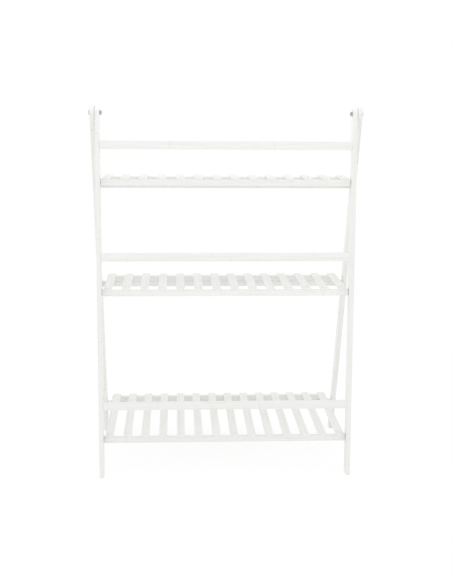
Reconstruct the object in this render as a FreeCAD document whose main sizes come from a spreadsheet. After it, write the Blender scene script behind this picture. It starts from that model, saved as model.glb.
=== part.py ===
import FreeCAD, Part
import os
import Sketcher

# Folding A-frame shelf of lacquered bamboo: three slatted tiers between a nearly upright front frame and a sloping
# rear frame that share two bolts at the top. Millimetres, +Z up, the origin on the floor in the middle of the
# footprint, the front at -Y.

# Driving dimensions: name, value and what it measures
DIMENSIONS = [
    ("overall_width", 700, "across the outer faces of the rear legs"),
    ("foot_room", 111, "from the floor to the top of the bottom tier"),
    ("lower_bay", 396, "from the top of the bottom tier to the top of the middle tier"),
    ("upper_bay", 288, "from the top of the middle tier to the top of the top tier"),
    ("head_room", 165, "from the top of the top tier to the top bolts"),
    ("leg_end", 18, "from the top bolts to the rounded ends of the legs"),
    ("front_foot", 68, "how far the front feet stand ahead of the top bolts"),
    ("rear_foot", 300, "how far the rear feet stand behind the top bolts"),
    ("leg_thickness", 12, "narrow side of a leg, seen from the front"),
    ("leg_round", 2, "rounding of a leg's long edges"),
    ("frame_gap", 0.5, "between a front leg and the rear leg beside it"),
    ("guard_rise", 85, "from a tier's top to the middle of its guard bar"),
    ("guard_height", 22, "height of a guard bar"),
    ("guard_thickness", 8, "thickness of a guard bar"),
    ("guard_round", 1.5, "rounding of a guard bar's long edges"),
    ("cross_height", 16, "height of a cross bar's front"),
    ("cross_thickness", 14, "thickness of a cross bar"),
    ("rail_height", 15, "height of a tier's rails"),
    ("rail_depth", 14, "depth of a tier's rails"),
    ("rail_round", 1, "rounding of the long edges of rails and cross bars"),
    ("side_gap", 1, "between a rail and the front leg beside it"),
    ("slat_count", 14, "slats in a tier"),
    ("slat_inset", 3, "between a rail's end and the outer edge of its end slat"),
    ("slat_width", 22, "width of a slat"),
    ("slat_thickness", 5, "thickness of a slat"),
    ("slat_round", 1.5, "rounding of a slat's long edges"),
    ("fold_gap", 1, "in front of and behind a tier that is folded up between the front legs"),
    ("rest_gap", 0.1, "between a rear rail and the cross bar it lies on"),
    ("bolt_size", 6, "diameter of the top bolts"),
    ("bolt_head_size", 14, "diameter of a bolt's low head"),
    ("bolt_head_height", 3, "height of a bolt's low head"),
    ("bolt_tip", 1, "how far a bolt stands out of its nut"),
    ("socket_size", 4, "across the flats of the hex socket in a bolt's head"),
    ("socket_depth", 2, "depth of that socket"),
    ("nut_size", 10, "across the flats of a nut"),
    ("nut_height", 5, "height of a nut"),
    ("pin_size", 6, "diameter of a tier's pins"),
    ("pin_reach", 20, "how far a pin reaches into a rail"),
    ("dowel_size", 4, "diameter of a guard bar's dowels"),
    ("dowel_reach", 20, "how far a dowel reaches into a guard bar"),
    ("blind_depth", 9, "depth of the pin and dowel holes in a front leg"),
    ("screw_size", 3.5, "diameter of a cross bar's screws"),
    ("screw_head_size", 6.5, "diameter of a screw's countersunk head"),
    ("screw_length", 34, "length of a screw"),
    ("recess_length", 3.5, "length of both arms of the cross recess in a screw's head"),
    ("recess_width", 0.8, "width of those arms"),
    ("recess_depth", 1.2, "depth of that recess"),
    ("fit_gap", 0.05, "round a bolt, pin, dowel or screw in its hole"),
    ("hole_spare", 0.5, "beyond the end of a pin, dowel or screw in its hole"),
]
TIERS = ["top", "middle", "bottom"]
SIDES = {"left": -1, "right": 1}

doc = FreeCAD.newDocument("bamboo_shelf")
dims = doc.addObject("Spreadsheet::Sheet", "dims")
for row, (alias, value, meaning) in enumerate(DIMENSIONS, start=1):
    dims.set(f"A{row}", meaning)
    dims.set(f"B{row}", str(value))
    dims.setAlias(f"B{row}", alias)
doc.recompute()

# Positions that follow from the driving dimensions, as expressions over the sheet. In a frame's own axes the top
# bolt is the origin, "along" runs up the legs and "across" runs from their fronts to their backs.
TIER_TOP = {"bottom": "dims.foot_room"}
TIER_TOP["middle"] = f"({TIER_TOP['bottom']} + dims.lower_bay)"
TIER_TOP["top"] = f"({TIER_TOP['middle']} + dims.upper_bay)"
BOLT_HEIGHT = f"({TIER_TOP['top']} + dims.head_room)"
FRONT_LEAN = f"atan(dims.front_foot / {BOLT_HEIGHT})"
REAR_LEAN = f"atan(dims.rear_foot / {BOLT_HEIGHT})"
# A tier folds up between the front legs, behind its guard bar, so the legs are as deep as both together.
LEG_DEPTH = "(dims.guard_thickness + dims.rail_height + dims.slat_thickness + 2 * dims.fold_gap)"
HALF_LEG = f"({LEG_DEPTH} / 2)"
FRONT_REACH = f"(dims.front_foot + {HALF_LEG} / cos({FRONT_LEAN}))"
REAR_REACH = f"(dims.rear_foot + {HALF_LEG} / cos({REAR_LEAN}))"
BOLT_Y = f"(({FRONT_REACH} - {REAR_REACH}) / 2)"
REAR_LEG_X = "(dims.overall_width / 2 - dims.leg_thickness / 2)"
FRONT_LEG_X = f"({REAR_LEG_X} - dims.leg_thickness - dims.frame_gap)"
INNER_WIDTH = f"(2 * {FRONT_LEG_X} - dims.leg_thickness)"
RAIL_LENGTH = f"({INNER_WIDTH} - 2 * dims.side_gap)"
SLAT_ROW = f"({RAIL_LENGTH} - 2 * dims.slat_inset)"
SLAT_PITCH = f"(({SLAT_ROW} - dims.slat_width) / (dims.slat_count - 1))"
PIN_ACROSS = f"({HALF_LEG} - dims.fold_gap - dims.rail_height / 2)"
GUARD_ACROSS = f"(-{HALF_LEG} + dims.guard_thickness / 2)"
CROSS_MIDDLE = f"({HALF_LEG} + dims.cross_thickness / 2)"
CROSS_BACK = f"({HALF_LEG} + dims.cross_thickness)"


def on_front_frame(height, across):
    """How far along the front frame a point lies that has this height above the floor."""
    return f"(({height} - {BOLT_HEIGHT} + {across} * sin({FRONT_LEAN})) / cos({FRONT_LEAN}))"


def pin_height(tier):
    return f"({TIER_TOP[tier]} - dims.slat_thickness - dims.rail_height / 2)"


def pin_along(tier):
    return on_front_frame(pin_height(tier), PIN_ACROSS)


def pin_y(tier):
    return f"({BOLT_Y} + {pin_along(tier)} * sin({FRONT_LEAN}) + {PIN_ACROSS} * cos({FRONT_LEAN}))"


def guard_along(tier):
    return on_front_frame(f"({TIER_TOP[tier]} + dims.guard_rise)", GUARD_ACROSS)


def cross_top_along(tier, across):
    """Where a cross bar's level top, just under the tier's rear rail, lies along the rear frame."""
    top = f"({TIER_TOP[tier]} - dims.slat_thickness - dims.rail_height - dims.rest_gap)"
    return f"(({top} - {BOLT_HEIGHT} - {across} * sin({REAR_LEAN})) / cos({REAR_LEAN}))"


def cross_bottom_along(tier):
    return f"({cross_top_along(tier, HALF_LEG)} - dims.cross_height)"


def screw_along(tier):
    """Middle of a cross bar's back."""
    return f"(({cross_top_along(tier, CROSS_BACK)} + {cross_bottom_along(tier)}) / 2)"


def tier_reach(tier):
    """From a tier's pins to the back of its rear rail, which is centred on the cross bar's level top."""
    top = cross_top_along(tier, CROSS_MIDDLE)
    middle_y = f"({BOLT_Y} - {top} * sin({REAR_LEAN}) + {CROSS_MIDDLE} * cos({REAR_LEAN}))"
    return f"({middle_y} + dims.rail_depth / 2 - {pin_y(tier)})"


def number(expression):
    value = dims.evalExpression(expression)
    return float(getattr(value, "Value", value))


def bind(thing, **expressions):
    """Bind properties to expressions; a double underscore in a name stands for a dot."""
    for name, expression in expressions.items():
        thing.setExpression(name.replace("__", "."), expression)


# Placements of the two leaning frames and of the level tiers
def lean_with_front(thing, x="0"):
    thing.Placement.Rotation = FreeCAD.Rotation(FreeCAD.Vector(1, 0, 0), -1)
    bind(thing, Placement__Base__x=x, Placement__Base__y=BOLT_Y, Placement__Base__z=BOLT_HEIGHT,
         Placement__Rotation__Angle=f"-{FRONT_LEAN}")


def lean_with_rear(thing, x="0"):
    thing.Placement.Rotation = FreeCAD.Rotation(FreeCAD.Vector(1, 0, 0), 1)
    bind(thing, Placement__Base__x=x, Placement__Base__y=BOLT_Y, Placement__Base__z=BOLT_HEIGHT,
         Placement__Rotation__Angle=REAR_LEAN)


def lie_with_tier(thing, tier):
    bind(thing, Placement__Base__y=pin_y(tier), Placement__Base__z=pin_height(tier))


# Sketches and features
def new_body(name):
    body = doc.addObject("PartDesign::Body", name)
    body.Label = name
    body.AllowCompound = True
    return body


def origin_part(body, role):
    return next(part for part in body.Origin.OriginFeatures if part.Role == role)


def new_sketch(body, name, role, offset="0"):
    sketch = body.newObject("Sketcher::SketchObject", name)
    sketch.AttachmentSupport = [(origin_part(body, role), "")]
    sketch.MapMode = "FlatFace"
    bind(sketch, AttachmentOffset__Base__z=offset)
    return sketch


def pin_point(sketch, curve, which, across, up):
    """Hold one point of a sketch curve at a place given by two expressions."""
    sketch.addConstraint(Sketcher.Constraint("DistanceX", -1, 1, curve, which, number(across)))
    bind(sketch, **{f"Constraints[{sketch.ConstraintCount - 1}]": across})
    sketch.addConstraint(Sketcher.Constraint("DistanceY", -1, 1, curve, which, number(up)))
    bind(sketch, **{f"Constraints[{sketch.ConstraintCount - 1}]": up})


def rectangle(across, up, width, height):
    """Corners of a rectangle about a middle point, as expressions."""
    signs = [(-1, -1), (1, -1), (1, 1), (-1, 1)]
    return [(f"({across} + {a} * {width} / 2)", f"({up} + {b} * {height} / 2)") for a, b in signs]


def draw_section(sketch, corners):
    """A closed outline of four straight sides, its corners held by expressions."""
    points = [FreeCAD.Vector(number(a), number(b), 0) for a, b in corners]
    for i in range(4):
        sketch.addGeometry(Part.LineSegment(points[i], points[(i + 1) % 4]))
    for i in range(4):
        sketch.addConstraint(Sketcher.Constraint("Coincident", i, 2, (i + 1) % 4, 1))
        pin_point(sketch, i, 1, *corners[i])


def draw_circle(sketch, across, up, diameter):
    middle = FreeCAD.Vector(number(across), number(up), 0)
    curve = sketch.addGeometry(Part.Circle(middle, FreeCAD.Vector(0, 0, 1), number(diameter) / 2))
    pin_point(sketch, curve, 3, across, up)
    sketch.addConstraint(Sketcher.Constraint("Diameter", curve, number(diameter)))
    bind(sketch, **{f"Constraints[{sketch.ConstraintCount - 1}]": diameter})


def pad_both_ways(body, sketch, length):
    pad = body.newObject("PartDesign::Pad", f"{body.Name}_pad")
    pad.Profile = sketch
    pad.SideType = "Symmetric"
    bind(pad, Length=length)
    doc.recompute()
    return pad


def cut(body, sketch, name, both_ways=False, along_normal=False):
    """Cut a sketch right through; checks that the cut takes something away."""
    before = body.Shape.Volume
    pocket = body.newObject("PartDesign::Pocket", name)
    pocket.Profile = sketch
    pocket.Type = "ThroughAll"
    if both_ways:
        pocket.SideType = "Symmetric"
    pocket.Reversed = along_normal
    doc.recompute()
    if not body.Shape.Volume < before:
        raise RuntimeError(f"{name} cuts nothing")
    return pocket


def round_edges(body, feature, radius, wanted):
    """Round the edges of a feature whose two end points pass the test."""
    names = []
    for i, edge in enumerate(feature.Shape.Edges, start=1):
        start, end = edge.Vertexes[0].Point, edge.Vertexes[-1].Point
        if wanted(start, end):
            names.append(f"Edge{i}")
    fillet = body.newObject("PartDesign::Fillet", f"{body.Name}_round")
    fillet.Base = (feature, names)
    bind(fillet, Radius=radius)
    doc.recompute()
    return fillet


def mirror_ends(body, feature, name):
    """Repeat an end hole at the other end of a piece."""
    mirrored = body.newObject("PartDesign::Mirrored", name)
    mirrored.Originals = [feature]
    mirrored.MirrorPlane = (origin_part(body, "YZ_Plane"), [""])
    body.Tip = mirrored
    doc.recompute()


def runs_along_x(start, end):
    return abs(end.x - start.x) > 10 * (abs(end.y - start.y) + abs(end.z - start.z)) + 1e-6


def runs_along_y(start, end):
    return abs(end.y - start.y) > 10 * (abs(end.x - start.x) + abs(end.z - start.z)) + 1e-6


def long_bar(name, corners, length, rounding):
    """A straight bar along X with rounded long edges, given by the corners of its section."""
    body = new_body(name)
    sketch = new_sketch(body, f"{name}_section", "YZ_Plane")
    draw_section(sketch, corners)
    pad = pad_both_ways(body, sketch, length)
    round_edges(body, pad, rounding, runs_along_x)
    return body


def end_holes(body, across, up, diameter, length, reach):
    """Blind holes in both ends of a bar."""
    sketch = new_sketch(body, f"{body.Name}_hole_circle", "YZ_Plane", f"{length} / 2 - {reach} - dims.hole_spare")
    draw_circle(sketch, across, up, f"({diameter} + 2 * dims.fit_gap)")
    hole = cut(body, sketch, f"{body.Name}_hole", along_normal=True)
    mirror_ends(body, hole, f"{body.Name}_holes")


# Legs
def leg_blank(name, lean, lean_sign):
    """A flat leg with a rounded top, cut level with the floor at its foot."""
    body = new_body(name)
    sketch = new_sketch(body, f"{name}_outline", "YZ_Plane")
    round_up = f"(dims.leg_end - {HALF_LEG})"
    floor_shift = f"({lean_sign} * {HALF_LEG} * sin({lean}))"
    front_foot = (f"(-{HALF_LEG})", f"(-({BOLT_HEIGHT} - {floor_shift}) / cos({lean}))")
    rear_foot = (HALF_LEG, f"(-({BOLT_HEIGHT} + {floor_shift}) / cos({lean}))")
    half, middle = number(HALF_LEG), number(round_up)
    front_low = FreeCAD.Vector(number(front_foot[0]), number(front_foot[1]), 0)
    rear_low = FreeCAD.Vector(number(rear_foot[0]), number(rear_foot[1]), 0)
    front_high = FreeCAD.Vector(-half, middle, 0)
    rear_high = FreeCAD.Vector(half, middle, 0)
    sketch.addGeometry(Part.LineSegment(front_low, rear_low))
    sketch.addGeometry(Part.LineSegment(rear_low, rear_high))
    sketch.addGeometry(Part.Arc(rear_high, FreeCAD.Vector(0, middle + half, 0), front_high))
    sketch.addGeometry(Part.LineSegment(front_high, front_low))
    sketch.addConstraint(Sketcher.Constraint("Coincident", 0, 2, 1, 1))
    sketch.addConstraint(Sketcher.Constraint("Coincident", 3, 2, 0, 1))
    sketch.addConstraint(Sketcher.Constraint("Coincident", 1, 2, 2, 1))
    sketch.addConstraint(Sketcher.Constraint("Coincident", 2, 2, 3, 1))
    pin_point(sketch, 0, 1, *front_foot)
    pin_point(sketch, 0, 2, *rear_foot)
    pin_point(sketch, 2, 3, "0", round_up)
    pin_point(sketch, 1, 2, HALF_LEG, round_up)
    sketch.addConstraint(Sketcher.Constraint("Horizontal", 2, 1, 2, 2))
    pad = pad_both_ways(body, sketch, "dims.leg_thickness")
    round_edges(body, pad, "dims.leg_round", lambda start, end: abs(start.x - end.x) < 1e-6)
    bolt_circle = new_sketch(body, f"{name}_bolt_circle", "YZ_Plane")
    draw_circle(bolt_circle, "0", "0", "(dims.bolt_size + 2 * dims.fit_gap)")
    cut(body, bolt_circle, f"{name}_bolt_hole", both_ways=True)
    return body


def front_leg(side):
    """A front leg with blind holes in its inner face for the tiers' pins and the guard bars' dowels."""
    sign = SIDES[side]
    name = f"front_leg_{side}"
    body = leg_blank(name, FRONT_LEAN, -1)
    hole_end = f"({sign} * (dims.blind_depth - dims.leg_thickness / 2))"
    sketch = new_sketch(body, f"{name}_blind_circles", "YZ_Plane", hole_end)
    for tier in TIERS:
        draw_circle(sketch, PIN_ACROSS, pin_along(tier), "(dims.pin_size + 2 * dims.fit_gap)")
        draw_circle(sketch, GUARD_ACROSS, guard_along(tier), "(dims.dowel_size + 2 * dims.fit_gap)")
    cut(body, sketch, f"{name}_blind_holes", along_normal=(sign < 0))
    lean_with_front(body, f"{sign} * {FRONT_LEG_X}")
    return body


def rear_leg(side):
    """A rear leg with blind holes in its back for the cross bars' screws."""
    sign = SIDES[side]
    name = f"rear_leg_{side}"
    body = leg_blank(name, REAR_LEAN, 1)
    screw_reach = "(dims.screw_length - dims.cross_thickness + dims.hole_spare)"
    sketch = new_sketch(body, f"{name}_screw_circles", "XZ_Plane", f"-({HALF_LEG} - {screw_reach})")
    for tier in TIERS:
        draw_circle(sketch, "0", screw_along(tier), "(dims.screw_size + 2 * dims.fit_gap)")
    cut(body, sketch, f"{name}_screw_holes")
    lean_with_rear(body, f"{sign} * {REAR_LEG_X}")
    return body


# Bars between the legs
def guard_bar(tier):
    section = rectangle(GUARD_ACROSS, guard_along(tier), "dims.guard_thickness", "dims.guard_height")
    body = long_bar(f"guard_bar_{tier}", section, INNER_WIDTH, "dims.guard_round")
    end_holes(body, GUARD_ACROSS, guard_along(tier), "dims.dowel_size", INNER_WIDTH, "dims.dowel_reach")
    lean_with_front(body)
    return body


def cross_bar(tier):
    """A bar on the backs of the rear legs, its top planed level, with a countersunk screw hole at each end."""
    name = f"cross_bar_{tier}"
    section = [(HALF_LEG, cross_bottom_along(tier)), (CROSS_BACK, cross_bottom_along(tier)),
               (CROSS_BACK, cross_top_along(tier, CROSS_BACK)), (HALF_LEG, cross_top_along(tier, HALF_LEG))]
    body = long_bar(name, section, "dims.overall_width", "dims.rail_round")
    sketch = new_sketch(body, f"{name}_screw_circles", "XZ_Plane")
    for sign in SIDES.values():
        draw_circle(sketch, f"({sign} * {REAR_LEG_X})", screw_along(tier), "(dims.screw_size + 2 * dims.fit_gap)")
    holes = cut(body, sketch, f"{name}_screw_holes", both_ways=True)
    back = number(CROSS_BACK)
    rims = []
    for i, edge in enumerate(holes.Shape.Edges, start=1):
        if edge.Curve.TypeId == "Part::GeomCircle" and abs(edge.CenterOfMass.y - back) < 1e-6:
            rims.append(f"Edge{i}")
    sink = body.newObject("PartDesign::Chamfer", f"{name}_countersinks")
    sink.Base = (holes, rims)
    bind(sink, Size="(dims.screw_head_size - dims.screw_size) / 2")
    doc.recompute()
    lean_with_rear(body)
    return body


# The three tiers, each about its own pins
def front_rail(tier):
    section = rectangle("0", "0", "dims.rail_depth", "dims.rail_height")
    body = long_bar(f"{tier}_front_rail", section, RAIL_LENGTH, "dims.rail_round")
    end_holes(body, "0", "0", "dims.pin_size", RAIL_LENGTH, "dims.pin_reach")
    lie_with_tier(body, tier)
    return body


def rear_rail(tier):
    section = rectangle(f"({tier_reach(tier)} - dims.rail_depth / 2)", "0", "dims.rail_depth", "dims.rail_height")
    body = long_bar(f"{tier}_rear_rail", section, RAIL_LENGTH, "dims.rail_round")
    lie_with_tier(body, tier)
    return body


def slats(tier):
    """The slats of a tier, flush with the front of its front rail and the back of its rear rail."""
    name = f"{tier}_slats"
    body = new_body(name)
    middle_y = f"(({tier_reach(tier)} - dims.rail_depth / 2) / 2)"
    length = f"({tier_reach(tier)} + dims.rail_depth / 2)"
    sketch = new_sketch(body, f"{name}_section", "XZ_Plane", f"-{middle_y}")
    first_x = f"((dims.slat_width - {SLAT_ROW}) / 2)"
    up = "((dims.rail_height + dims.slat_thickness) / 2)"
    draw_section(sketch, rectangle(first_x, up, "dims.slat_width", "dims.slat_thickness"))
    pad = pad_both_ways(body, sketch, length)
    round_edges(body, pad, "dims.slat_round", runs_along_y)
    row = body.newObject("PartDesign::LinearPattern", f"{name}_row")
    row.TransformMode = "Whole shape"
    row.Direction = (origin_part(body, "X_Axis"), [""])
    bind(row, Length=f"{SLAT_PITCH} * (dims.slat_count - 1)", Occurrences="dims.slat_count")
    body.Tip = row
    doc.recompute()
    lie_with_tier(body, tier)
    return body


# Fasteners, each kind one group of separate solids
def cylinder_along_x(name, x, across, up, diameter, length, sign=1):
    """A cylinder whose axis runs towards +X, or towards -X for sign -1, from a middle point of its near end."""
    piece = doc.addObject("Part::Cylinder", name)
    piece.Placement.Rotation = FreeCAD.Rotation(FreeCAD.Vector(0, 1, 0), 90 * sign)
    bind(piece, Radius=f"{diameter} / 2", Height=length, Placement__Base__x=x, Placement__Base__y=across,
         Placement__Base__z=up)
    return piece


def hexagon_along_x(name, x, flats, length, sign=1):
    """A hexagonal bar on the bolts' axis, placed like a cylinder."""
    piece = doc.addObject("Part::Prism", name)
    piece.Polygon = 6
    piece.Placement.Rotation = FreeCAD.Rotation(FreeCAD.Vector(0, 1, 0), 90 * sign)
    bind(piece, Circumradius=f"{flats} / sqrt(3)", Height=length, Placement__Base__x=x)
    return piece


def joined(name, pieces):
    whole = doc.addObject("Part::MultiFuse", name)
    whole.Shapes = pieces
    return whole


def with_hole(name, piece, hole):
    rest = doc.addObject("Part::Cut", name)
    rest.Base = piece
    rest.Tool = hole
    return rest


def group(name, pieces):
    whole = doc.addObject("Part::Compound", name)
    whole.Label = name
    whole.Links = pieces
    return whole


INNER_X = f"({INNER_WIDTH} / 2)"
NUT_X = f"({INNER_X} - dims.nut_height)"
TIP_X = f"({NUT_X} - dims.bolt_tip)"


def pivot_bolts():
    """The bolts that both frames turn on, with low heads and hex sockets outside the rear legs."""
    bolts = []
    socket_x = "(dims.overall_width / 2 + dims.bolt_head_height - dims.socket_depth)"
    for side, sign in SIDES.items():
        shank = cylinder_along_x(f"bolt_shank_{side}", f"{sign} * {TIP_X}", "0", "0", "dims.bolt_size",
                                 f"dims.overall_width / 2 - {TIP_X}", sign)
        rim = cylinder_along_x(f"bolt_rim_{side}", f"{sign} * dims.overall_width / 2", "0", "0",
                               "dims.bolt_head_size", "dims.bolt_head_height / 2", sign)
        dome = doc.addObject("Part::Cone", f"bolt_dome_{side}")
        dome.Placement.Rotation = FreeCAD.Rotation(FreeCAD.Vector(0, 1, 0), 90 * sign)
        bind(dome, Radius1="dims.bolt_head_size / 2", Radius2="dims.bolt_head_size * 0.36",
             Height="dims.bolt_head_height / 2",
             Placement__Base__x=f"{sign} * (dims.overall_width / 2 + dims.bolt_head_height / 2)")
        socket = hexagon_along_x(f"bolt_socket_{side}", f"{sign} * {socket_x}", "dims.socket_size",
                                 "dims.socket_depth", sign)
        bolts.append(with_hole(f"bolt_{side}", joined(f"bolt_blank_{side}", [shank, rim, dome]), socket))
    return group("pivot_bolts", bolts)


def pivot_nuts():
    nuts = []
    for side, sign in SIDES.items():
        hexagon = hexagon_along_x(f"nut_hexagon_{side}", f"{sign} * {NUT_X}", "dims.nut_size", "dims.nut_height", sign)
        hole = cylinder_along_x(f"nut_hole_{side}", f"{sign} * {NUT_X}", "0", "0",
                                "(dims.bolt_size + 2 * dims.fit_gap)", "dims.nut_height", sign)
        nuts.append(with_hole(f"nut_{side}", hexagon, hole))
    return group("pivot_nuts", nuts)


def tier_pins():
    pins = []
    start = f"({INNER_X} - dims.side_gap - dims.pin_reach)"
    length = f"(dims.pin_reach + dims.side_gap + dims.blind_depth - dims.hole_spare)"
    for tier in TIERS:
        for side, sign in SIDES.items():
            pins.append(cylinder_along_x(f"pin_{tier}_{side}", f"{sign} * {start}", PIN_ACROSS, pin_along(tier),
                                         "dims.pin_size", length, sign))
    return group("tier_pins", pins)


def guard_dowels():
    dowels = []
    start = f"({INNER_X} - dims.dowel_reach)"
    length = f"(dims.dowel_reach + dims.blind_depth - dims.hole_spare)"
    for tier in TIERS:
        for side, sign in SIDES.items():
            dowels.append(cylinder_along_x(f"dowel_{tier}_{side}", f"{sign} * {start}", GUARD_ACROSS,
                                           guard_along(tier), "dims.dowel_size", length, sign))
    return group("guard_dowels", dowels)


def cross_screws():
    """Countersunk screws with cross recesses, driven forward through the cross bars into the rear legs."""
    screws = []
    sink_depth = "((dims.screw_head_size - dims.screw_size) / 2)"
    for tier in TIERS:
        for side, sign in SIDES.items():
            name = f"{tier}_{side}"
            x = f"({sign} * {REAR_LEG_X})"
            shank = doc.addObject("Part::Cylinder", f"screw_shank_{name}")
            head = doc.addObject("Part::Cone", f"screw_head_{name}")
            for piece in (shank, head):
                piece.Placement.Rotation = FreeCAD.Rotation(FreeCAD.Vector(1, 0, 0), -90)
                bind(piece, Placement__Base__x=x, Placement__Base__z=screw_along(tier))
            bind(shank, Radius="dims.screw_size / 2", Height=f"dims.screw_length - {sink_depth}",
                 Placement__Base__y=f"{CROSS_BACK} - dims.screw_length")
            bind(head, Radius1="dims.screw_size / 2", Radius2="dims.screw_head_size / 2 - dims.fit_gap",
                 Height=sink_depth, Placement__Base__y=f"{CROSS_BACK} - {sink_depth}")
            arms = []
            for arm, width, height in (("level", "dims.recess_length", "dims.recess_width"),
                                       ("upright", "dims.recess_width", "dims.recess_length")):
                slot = doc.addObject("Part::Box", f"screw_{arm}_arm_{name}")
                bind(slot, Length=width, Width="dims.recess_depth", Height=height,
                     Placement__Base__x=f"{x} - {width} / 2", Placement__Base__y=f"{CROSS_BACK} - dims.recess_depth",
                     Placement__Base__z=f"{screw_along(tier)} - {height} / 2")
                arms.append(slot)
            blank = joined(f"screw_blank_{name}", [shank, head])
            screws.append(with_hole(f"screw_{name}", blank, joined(f"screw_recess_{name}", arms)))
    return group("cross_screws", screws)


# The whole shelf
nodes = []
for side in SIDES:
    nodes.append(front_leg(side))
    nodes.append(rear_leg(side))
for tier in TIERS:
    nodes.append(guard_bar(tier))
    nodes.append(cross_bar(tier))
    nodes.append(front_rail(tier))
    nodes.append(rear_rail(tier))
    nodes.append(slats(tier))
for fasteners in (pivot_bolts(), pivot_nuts(), tier_pins(), guard_dowels()):
    lean_with_front(fasteners)
    nodes.append(fasteners)
screws = cross_screws()
lean_with_rear(screws)
nodes.append(screws)
doc.recompute()

# Check everything, then write one file for each piece
for thing in doc.Objects:
    if "Invalid" in thing.State or "Error" in thing.State:
        raise RuntimeError(f"{thing.Name} failed: {thing.State}")
for node in nodes:
    if node.Shape.isNull() or not node.Shape.isValid():
        raise RuntimeError(f"{node.Label} has no valid shape")
os.makedirs("parts", exist_ok=True)
for node in nodes:
    node.Shape.exportStep(f"parts/{node.Label}.step")
    print(node.Label, len(node.Shape.Solids), round(node.Shape.Volume))
for tier in TIERS:
    print(f"{tier} tier: pins at y {number(pin_y(tier)):.3f} z {number(pin_height(tier)):.3f},",
          f"reach {number(tier_reach(tier)):.2f}")
print(f"bolts at y {number(BOLT_Y):.3f}, leans {number(FRONT_LEAN):.4f} and {number(REAR_LEAN):.4f} degrees")
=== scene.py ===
import math

import bpy
from mathutils import Matrix, Vector


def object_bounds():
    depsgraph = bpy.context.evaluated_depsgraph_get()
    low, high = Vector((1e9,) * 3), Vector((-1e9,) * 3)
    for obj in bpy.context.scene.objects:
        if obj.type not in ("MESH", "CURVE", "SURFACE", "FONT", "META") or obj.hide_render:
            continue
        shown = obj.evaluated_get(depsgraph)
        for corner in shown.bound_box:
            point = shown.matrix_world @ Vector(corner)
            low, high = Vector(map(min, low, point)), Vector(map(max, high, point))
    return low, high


# Folding three-tier shelf of white-lacquered bamboo in a white studio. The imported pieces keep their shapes
# and get their finishes here. Metres, +Z up, the shelf's guard bars face -Y.
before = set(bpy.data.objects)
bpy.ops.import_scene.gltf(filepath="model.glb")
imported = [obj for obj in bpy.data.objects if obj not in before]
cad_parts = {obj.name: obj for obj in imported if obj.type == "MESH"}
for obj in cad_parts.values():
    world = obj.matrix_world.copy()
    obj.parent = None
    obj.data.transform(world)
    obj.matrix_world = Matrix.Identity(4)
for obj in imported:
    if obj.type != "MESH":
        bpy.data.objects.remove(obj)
cad_low, cad_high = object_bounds()

MM = 0.001
TIERS = ("top", "middle", "bottom")
SIDES = {"left": -1, "right": 1}

# How the pieces lie: the legs' lean from upright, front and rear, and the spacing of the slats
FRONT_LEAN = math.radians(4.05)
REAR_LEAN = math.radians(-17.35)
SLAT_PITCH = 47.77 * MM


# Colours and nodes
def linear(hex_colour):
    """An sRGB hex colour as linear RGBA."""
    channels = [int(hex_colour[i:i + 2], 16) / 255 for i in (1, 3, 5)]
    return [c / 12.92 if c <= 0.04045 else ((c + 0.055) / 1.055) ** 2.4 for c in channels] + [1.0]


def add_node(tree, kind, inputs=None, **settings):
    """Add a node: settings are its properties, inputs are values for its sockets or sockets to link to them."""
    node = tree.nodes.new(kind)
    for name, value in settings.items():
        setattr(node, name, value)
    for name, value in (inputs or {}).items():
        if isinstance(value, bpy.types.NodeSocket):
            tree.links.new(value, node.inputs[name])
        else:
            node.inputs[name].default_value = value
    return node


def new_material(name):
    """An empty node material, and its tree."""
    material = bpy.data.materials.new(name)
    material.use_nodes = True
    material.node_tree.nodes.clear()
    return material, material.node_tree


# Nearly all values of a noise lie between these two
NOISE_LOW = 0.3
NOISE_HIGH = 0.7

# White-lacquered bamboo: narrow strips of cane glued side by side, planed, and sprayed twice with satin white.
# The eye sees an almost neutral white with soft highlights. Fibres show through as faint lines along each
# piece, and where a strip has one of the cane's knuckles the coat is a little raised and a little thinner.
LACQUER = "#F6F6F4"
LACQUER_OVER_FIBRE = "#E8E8E4"
LACQUER_OVER_KNUCKLE = "#E5E4DD"
LACQUER_IOR = 1.5
SATIN = (0.36, 0.48)         # least and greatest roughness of the coat
STRIP_WIDTH = 7.5 * MM
STRIP_SHARE = 0.25           # how much of the fibres' colour the greyest strip has all over
FIBRE_WIDTH = 1.6 * MM       # real fibres are 0.3 mm wide and too fine to show, so they are drawn wider
FIBRE_LENGTH = 120 * MM
FIBRE_NOISE = (0.42, 0.68)   # noise at which a fibre starts to show, and at which it shows most
FIBRE_SHARE = 0.55           # how much of its colour shows then
FIBRE_RELIEF = 0.08 * MM
KNUCKLE_SPACING = 270 * MM
KNUCKLE_WIDTH = 4 * MM       # at half its height
KNUCKLE_SHARE = 0.35
KNUCKLE_RELIEF = 0.15 * MM
SPRAY_GRAIN = 3 * MM         # the orange peel of a sprayed coat, drawn at twice its real size to show
SPRAY_RELIEF = 0.04 * MM


def strip_chance(tree, split, piece_pitch):
    """A chance number from 0 to 1 for every strip of every piece."""
    row = add_node(tree, "ShaderNodeMath", {0: split.outputs["Y"], 1: piece_pitch}, operation="DIVIDE")
    piece_number = add_node(tree, "ShaderNodeMath", {0: row.outputs[0]}, operation="FLOOR")
    side_step = add_node(tree, "ShaderNodeMath", {0: split.outputs["Y"], 1: STRIP_WIDTH}, operation="DIVIDE")
    strip_number = add_node(tree, "ShaderNodeMath", {0: side_step.outputs[0]}, operation="FLOOR")
    node_number = add_node(tree, "ShaderNodeObjectInfo").outputs["Random"]
    seed = add_node(tree, "ShaderNodeCombineXYZ", {"X": piece_number.outputs[0], "Y": strip_number.outputs[0],
                                                   "Z": node_number})
    chance = add_node(tree, "ShaderNodeTexWhiteNoise", {"Vector": seed.outputs[0]}, noise_dimensions="3D")
    return chance.outputs["Value"]


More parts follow.
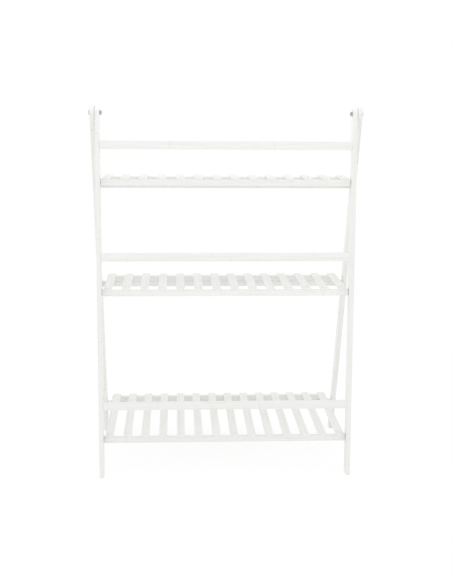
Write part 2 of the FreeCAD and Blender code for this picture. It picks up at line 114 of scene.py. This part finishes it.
def fibre_lines(tree, along, strip):
    """Long thin fibres, other ones in each strip."""
    stretch = (1 / FIBRE_LENGTH, 1 / FIBRE_WIDTH, 1 / FIBRE_WIDTH)
    place = add_node(tree, "ShaderNodeMapping", {"Vector": along, "Scale": stretch}).outputs["Vector"]
    fibres = add_node(tree, "ShaderNodeTexNoise", {"Vector": place, "W": strip, "Scale": 1.0, "Detail": 3.0},
                      noise_dimensions="4D")
    return fibres.outputs["Fac"]


def knuckle_bars(tree, split, strip):
    """A low bar across each strip at every step along it, 1 in its middle and 0 beside it."""
    step = add_node(tree, "ShaderNodeMath", {0: split.outputs["X"], 1: KNUCKLE_SPACING}, operation="DIVIDE")
    shifted = add_node(tree, "ShaderNodeMath", {0: step.outputs[0], 1: strip}, operation="ADD")
    steps_away = add_node(tree, "ShaderNodeMath", {0: shifted.outputs[0], 1: 0.5}, operation="PINGPONG")
    bars = add_node(tree, "ShaderNodeMapRange",
                    {"Value": steps_away.outputs[0], "From Min": 0.0,
                     "From Max": KNUCKLE_WIDTH / KNUCKLE_SPACING, "To Min": 1.0, "To Max": 0.0},
                    interpolation_type="SMOOTHSTEP")
    return bars.outputs["Result"]


def lacquered_bamboo(name, turn, piece_pitch):
    """The finish for pieces whose length lies along X after the turn, given as Euler angles. Pieces of one
    node that repeat along Y after the turn, by piece_pitch, are cut from different strips."""
    material, tree = new_material(name)
    place = add_node(tree, "ShaderNodeTexCoord").outputs["Object"]
    along = add_node(tree, "ShaderNodeMapping", {"Vector": place, "Rotation": turn}).outputs["Vector"]
    split = add_node(tree, "ShaderNodeSeparateXYZ", {"Vector": along})
    strip = strip_chance(tree, split, piece_pitch)
    fibres = fibre_lines(tree, along, strip)
    knuckle = knuckle_bars(tree, split, strip)

    # Colour: lacquer, a little thinner over fibres and knuckles, a shade apart from strip to strip
    fibre_share = add_node(tree, "ShaderNodeMapRange",
                           {"Value": fibres, "From Min": FIBRE_NOISE[0], "From Max": FIBRE_NOISE[1],
                            "To Min": 0.0, "To Max": FIBRE_SHARE})
    thin_share = add_node(tree, "ShaderNodeMath", {0: strip, 1: STRIP_SHARE, 2: fibre_share.outputs["Result"]},
                          operation="MULTIPLY_ADD")
    grained = add_node(tree, "ShaderNodeMix", {"Factor": thin_share.outputs[0], "A": linear(LACQUER),
                                               "B": linear(LACQUER_OVER_FIBRE)}, data_type="RGBA")
    knuckle_share = add_node(tree, "ShaderNodeMath", {0: knuckle, 1: KNUCKLE_SHARE}, operation="MULTIPLY")
    colour = add_node(tree, "ShaderNodeMix",
                      {"Factor": knuckle_share.outputs[0], "A": grained.outputs["Result"],
                       "B": linear(LACQUER_OVER_KNUCKLE)}, data_type="RGBA")

    # Relief: spray grain over fibres over knuckles
    peel = add_node(tree, "ShaderNodeTexNoise", {"Vector": along, "Scale": 1 / SPRAY_GRAIN, "Detail": 1.0})
    bars = add_node(tree, "ShaderNodeBump", {"Height": knuckle, "Distance": KNUCKLE_RELIEF, "Strength": 1.0})
    lines = add_node(tree, "ShaderNodeBump", {"Height": fibres, "Distance": FIBRE_RELIEF, "Strength": 1.0,
                                              "Normal": bars.outputs["Normal"]})
    coat = add_node(tree, "ShaderNodeBump", {"Height": peel.outputs["Fac"], "Distance": SPRAY_RELIEF,
                                             "Strength": 1.0, "Normal": lines.outputs["Normal"]})
    rough = add_node(tree, "ShaderNodeMapRange",
                     {"Value": peel.outputs["Fac"], "From Min": NOISE_LOW, "From Max": NOISE_HIGH,
                      "To Min": SATIN[0], "To Max": SATIN[1]})
    surface = add_node(tree, "ShaderNodeBsdfPrincipled",
                       {"Base Color": colour.outputs["Result"], "Roughness": rough.outputs["Result"],
                        "IOR": LACQUER_IOR, "Normal": coat.outputs["Normal"]})
    add_node(tree, "ShaderNodeOutputMaterial", {"Surface": surface.outputs["BSDF"]})
    return material


# Zinc-plated steel: tumbled in the bath, so its grey is clouded and fine scratches break up its highlights.
# The bolts, pins and screws are bright with a faint blue cast, the nuts duller, without it, and darkened by
# painted shade.
BRIGHT_ZINC = ("#D3D5D8", "#B4B7BA")      # clear and clouded places
# The nuts' two colours are a little darker than the bolts': painted shade, for the shade the nuts sit in
DULL_ZINC_WITH_PAINTED_SHADE = ("#CACBC9", "#AEAFAD")
BRIGHT_ROUGHNESS = 0.38
DULL_ROUGHNESS = 0.45
ROUGHNESS_SPREAD = 0.08      # more on scratches, less between them
CLOUD_SIZE = 6 * MM
SCRATCH_WIDTH = 0.6 * MM     # real scratches are finer and would not show
SCRATCH_RELIEF = 0.02 * MM
SCRATCH_STRENGTH = 0.5


def zinc_plated_steel(name, colours, roughness):
    """The finish for small steel pieces, between two colours and about one roughness."""
    material, tree = new_material(name)
    clear, clouded = colours
    place = add_node(tree, "ShaderNodeTexCoord").outputs["Object"]
    scratches = add_node(tree, "ShaderNodeTexNoise",
                         {"Vector": place, "Scale": 1 / SCRATCH_WIDTH, "Detail": 4.0}).outputs["Fac"]
    clouds = add_node(tree, "ShaderNodeTexNoise", {"Vector": place, "Scale": 1 / CLOUD_SIZE, "Detail": 2.0})
    colour = add_node(tree, "ShaderNodeMix", {"Factor": clouds.outputs["Fac"], "A": linear(clear),
                                              "B": linear(clouded)}, data_type="RGBA")
    rough = add_node(tree, "ShaderNodeMapRange",
                     {"Value": scratches, "From Min": NOISE_LOW, "From Max": NOISE_HIGH,
                      "To Min": roughness - ROUGHNESS_SPREAD, "To Max": roughness + ROUGHNESS_SPREAD})
    relief = add_node(tree, "ShaderNodeBump", {"Height": scratches, "Distance": SCRATCH_RELIEF,
                                               "Strength": SCRATCH_STRENGTH})
    surface = add_node(tree, "ShaderNodeBsdfPrincipled",
                       {"Base Color": colour.outputs["Result"], "Metallic": 1.0,
                        "Roughness": rough.outputs["Result"], "Normal": relief.outputs["Normal"]})
    add_node(tree, "ShaderNodeOutputMaterial", {"Surface": surface.outputs["BSDF"]})
    return material


# Bare beech: turned dowels, pale brown with short dark flecks along the grain
BEECH = "#D9BE94"
BEECH_FLECK = "#B99767"
BEECH_ROUGHNESS = 0.65
BEECH_IOR = 1.5
FLECK_LENGTH = 12 * MM
FLECK_WIDTH = 0.8 * MM
FLECK_RELIEF = 0.05 * MM


def bare_beech(name):
    """The finish for dowels, whose length lies along X."""
    material, tree = new_material(name)
    place = add_node(tree, "ShaderNodeTexCoord").outputs["Object"]
    stretch = (1 / FLECK_LENGTH, 1 / FLECK_WIDTH, 1 / FLECK_WIDTH)
    fleck_place = add_node(tree, "ShaderNodeMapping", {"Vector": place, "Scale": stretch}).outputs["Vector"]
    flecks = add_node(tree, "ShaderNodeTexNoise",
                      {"Vector": fleck_place, "Scale": 1.0, "Detail": 3.0}).outputs["Fac"]
    colour = add_node(tree, "ShaderNodeMix", {"Factor": flecks, "A": linear(BEECH), "B": linear(BEECH_FLECK)},
                      data_type="RGBA")
    relief = add_node(tree, "ShaderNodeBump", {"Height": flecks, "Distance": FLECK_RELIEF})
    surface = add_node(tree, "ShaderNodeBsdfPrincipled",
                       {"Base Color": colour.outputs["Result"], "Roughness": BEECH_ROUGHNESS, "IOR": BEECH_IOR,
                        "Normal": relief.outputs["Normal"]})
    add_node(tree, "ShaderNodeOutputMaterial", {"Surface": surface.outputs["BSDF"]})
    return material


# Which finish each piece gets
QUARTER_TURN = math.pi / 2
WHOLE = 2.0                  # metres: a pitch far wider than the shelf, for nodes of one piece
front_leg_finish = lacquered_bamboo("lacquered_bamboo_front_legs", (FRONT_LEAN, QUARTER_TURN, 0), WHOLE)
rear_leg_finish = lacquered_bamboo("lacquered_bamboo_rear_legs", (REAR_LEAN, QUARTER_TURN, 0), WHOLE)
bar_finish = lacquered_bamboo("lacquered_bamboo_bars", (0, 0, 0), WHOLE)
slat_finish = lacquered_bamboo("lacquered_bamboo_slats", (0, 0, -QUARTER_TURN), SLAT_PITCH)
bright_zinc = zinc_plated_steel("bright_zinc_plated_steel", BRIGHT_ZINC, BRIGHT_ROUGHNESS)
# The nuts' finish: rougher, and a little darker with painted shade
dull_zinc_with_painted_shade = zinc_plated_steel("dull_zinc_plated_steel_with_painted_shade", DULL_ZINC_WITH_PAINTED_SHADE, DULL_ROUGHNESS)
beech = bare_beech("bare_beech")

finishes = {"pivot_bolts": bright_zinc, "tier_pins": bright_zinc, "cross_screws": bright_zinc,
            "pivot_nuts": dull_zinc_with_painted_shade, "guard_dowels": beech}
for side in SIDES:
    finishes[f"front_leg_{side}"] = front_leg_finish
    finishes[f"rear_leg_{side}"] = rear_leg_finish
for tier in TIERS:
    finishes[f"{tier}_slats"] = slat_finish
    for bar in (f"guard_bar_{tier}", f"cross_bar_{tier}", f"{tier}_front_rail", f"{tier}_rear_rail"):
        finishes[bar] = bar_finish
for name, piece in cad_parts.items():
    piece.data.materials.clear()
    piece.data.materials.append(finishes[name])

# White studio: a pale floor that fades to white, white all round, and soft boxes
WHITE = linear("#FFFFFF")
FLOOR_SIZE = 14.0
FLOOR_DROP = 0.2 * MM        # keeps the floor clear of the feet
PAPER = "#F8F8F8"            # the floor's own colour, for the light that it throws back
PAPER_SEEN = "#8C8C8C"       # for the camera: as lit as the shelf, this and the glow add up to white
PAPER_GLOW = 0.77
FADE_FROM = 0.6              # metres from the middle: nearer, the floor shows the shelf's shadow
FADE_TO = 1.4                # farther, it is white like the room
ROOM_LIGHT = 0.82            # what the room sheds on the shelf; the camera sees it as white


def seen_directly(tree):
    """1 for what the camera sees, also in metal or through glass; 0 for light that falls on the shelf."""
    path = add_node(tree, "ShaderNodeLightPath").outputs
    sharp = add_node(tree, "ShaderNodeMath", {0: path["Is Glossy Ray"], 1: path["Is Transmission Ray"]},
                     operation="MAXIMUM")
    return add_node(tree, "ShaderNodeMath", {0: path["Is Camera Ray"], 1: sharp.outputs[0]},
                    operation="MAXIMUM").outputs[0]


def studio_floor():
    """White paper. What the camera sees of it glows, so that only a faint shadow stands out from white."""
    bpy.ops.mesh.primitive_plane_add(size=FLOOR_SIZE, location=(0, 0, -FLOOR_DROP))
    floor = bpy.context.object
    floor.name = "studio_floor"
    material, tree = new_material("white_paper_floor")
    paper = add_node(tree, "ShaderNodeBsdfDiffuse", {"Color": linear(PAPER)})
    pale = add_node(tree, "ShaderNodeBsdfDiffuse", {"Color": linear(PAPER_SEEN)})
    glow = add_node(tree, "ShaderNodeEmission", {"Color": WHITE, "Strength": PAPER_GLOW})
    near = add_node(tree, "ShaderNodeAddShader", {0: pale.outputs[0], 1: glow.outputs[0]})
    far = add_node(tree, "ShaderNodeEmission", {"Color": WHITE, "Strength": 1.0})
    place = add_node(tree, "ShaderNodeTexCoord").outputs["Object"]
    away = add_node(tree, "ShaderNodeVectorMath", {0: place}, operation="LENGTH").outputs["Value"]
    fade = add_node(tree, "ShaderNodeMapRange", {"Value": away, "From Min": FADE_FROM, "From Max": FADE_TO},
                    interpolation_type="SMOOTHSTEP").outputs["Result"]
    seen = add_node(tree, "ShaderNodeMixShader", {0: fade, 1: near.outputs[0], 2: far.outputs[0]})
    both = add_node(tree, "ShaderNodeMixShader",
                    {0: seen_directly(tree), 1: paper.outputs[0], 2: seen.outputs[0]})
    add_node(tree, "ShaderNodeOutputMaterial", {"Surface": both.outputs[0]})
    floor.data.materials.append(material)


def studio_world():
    """White on all sides, at the room's strength for the shelf and plain white for the camera."""
    world = bpy.data.worlds.new("white_studio")
    bpy.context.scene.world = world
    world.use_nodes = True
    tree = world.node_tree
    tree.nodes.clear()
    room = add_node(tree, "ShaderNodeBackground", {"Color": WHITE, "Strength": ROOM_LIGHT})
    seen = add_node(tree, "ShaderNodeBackground", {"Color": WHITE, "Strength": 1.0})
    both = add_node(tree, "ShaderNodeMixShader",
                    {0: seen_directly(tree), 1: room.outputs[0], 2: seen.outputs[0]})
    add_node(tree, "ShaderNodeOutputWorld", {"Surface": both.outputs[0]})


def soft_box(name, place, width, height, watts):
    """A lamp turned to the middle of the shelf, in metres. Neither the camera nor a reflection shows it,
    because its mirror image would bleach white pieces that are seen at a low angle."""
    lamp = bpy.data.lights.new(name, "AREA")
    lamp.shape = "RECTANGLE"
    lamp.size = width
    lamp.size_y = height
    lamp.energy = watts
    box = bpy.data.objects.new(name, lamp)
    bpy.context.scene.collection.objects.link(box)
    box.location = place
    box.rotation_mode = "QUATERNION"
    box.rotation_quaternion = ((cad_low + cad_high) / 2 - Vector(place)).to_track_quat("-Z", "Y")
    box.visible_camera = False
    box.visible_glossy = False


studio_floor()
studio_world()
for side, across in SIDES.items():
    soft_box(f"soft_box_front_{side}", place=(across * 4.2, -2.6, 1.2), width=3.0, height=2.3, watts=28)
    soft_box(f"soft_box_rear_{side}", place=(across * 4.2, 2.6, 1.2), width=3.0, height=2.3, watts=18)
soft_box("soft_box_above", place=(0, -0.3, 1.9), width=1.2, height=0.8, watts=3.2)

# Camera: in front, a little left of the middle and a little above the leg tops, looking down
CAMERA_PLACE = (-0.1327, -2.6509, 1.0336)
CAMERA_TURN = 3.035          # degrees to the right
CAMERA_DIP = 12.077          # degrees below level
CAMERA_ROLL = 0.459          # degrees, the camera's right side raised
CAMERA_LENS = 59.93          # millimetres
CAMERA_SENSOR = 36           # millimetres, along the picture's long side


def studio_camera():
    camera = bpy.data.objects.new("studio_camera", bpy.data.cameras.new("studio_camera"))
    bpy.context.scene.collection.objects.link(camera)
    camera.data.sensor_width = CAMERA_SENSOR
    camera.data.lens = CAMERA_LENS
    turn = Matrix.Rotation(math.radians(-CAMERA_TURN), 4, "Z")
    dip = Matrix.Rotation(math.radians(90 - CAMERA_DIP), 4, "X")
    roll = Matrix.Rotation(math.radians(CAMERA_ROLL), 4, "Z")
    camera.matrix_world = Matrix.Translation(CAMERA_PLACE) @ turn @ dip @ roll
    bpy.context.scene.camera = camera


studio_camera()
bpy.context.scene.view_settings.view_transform = "Standard"
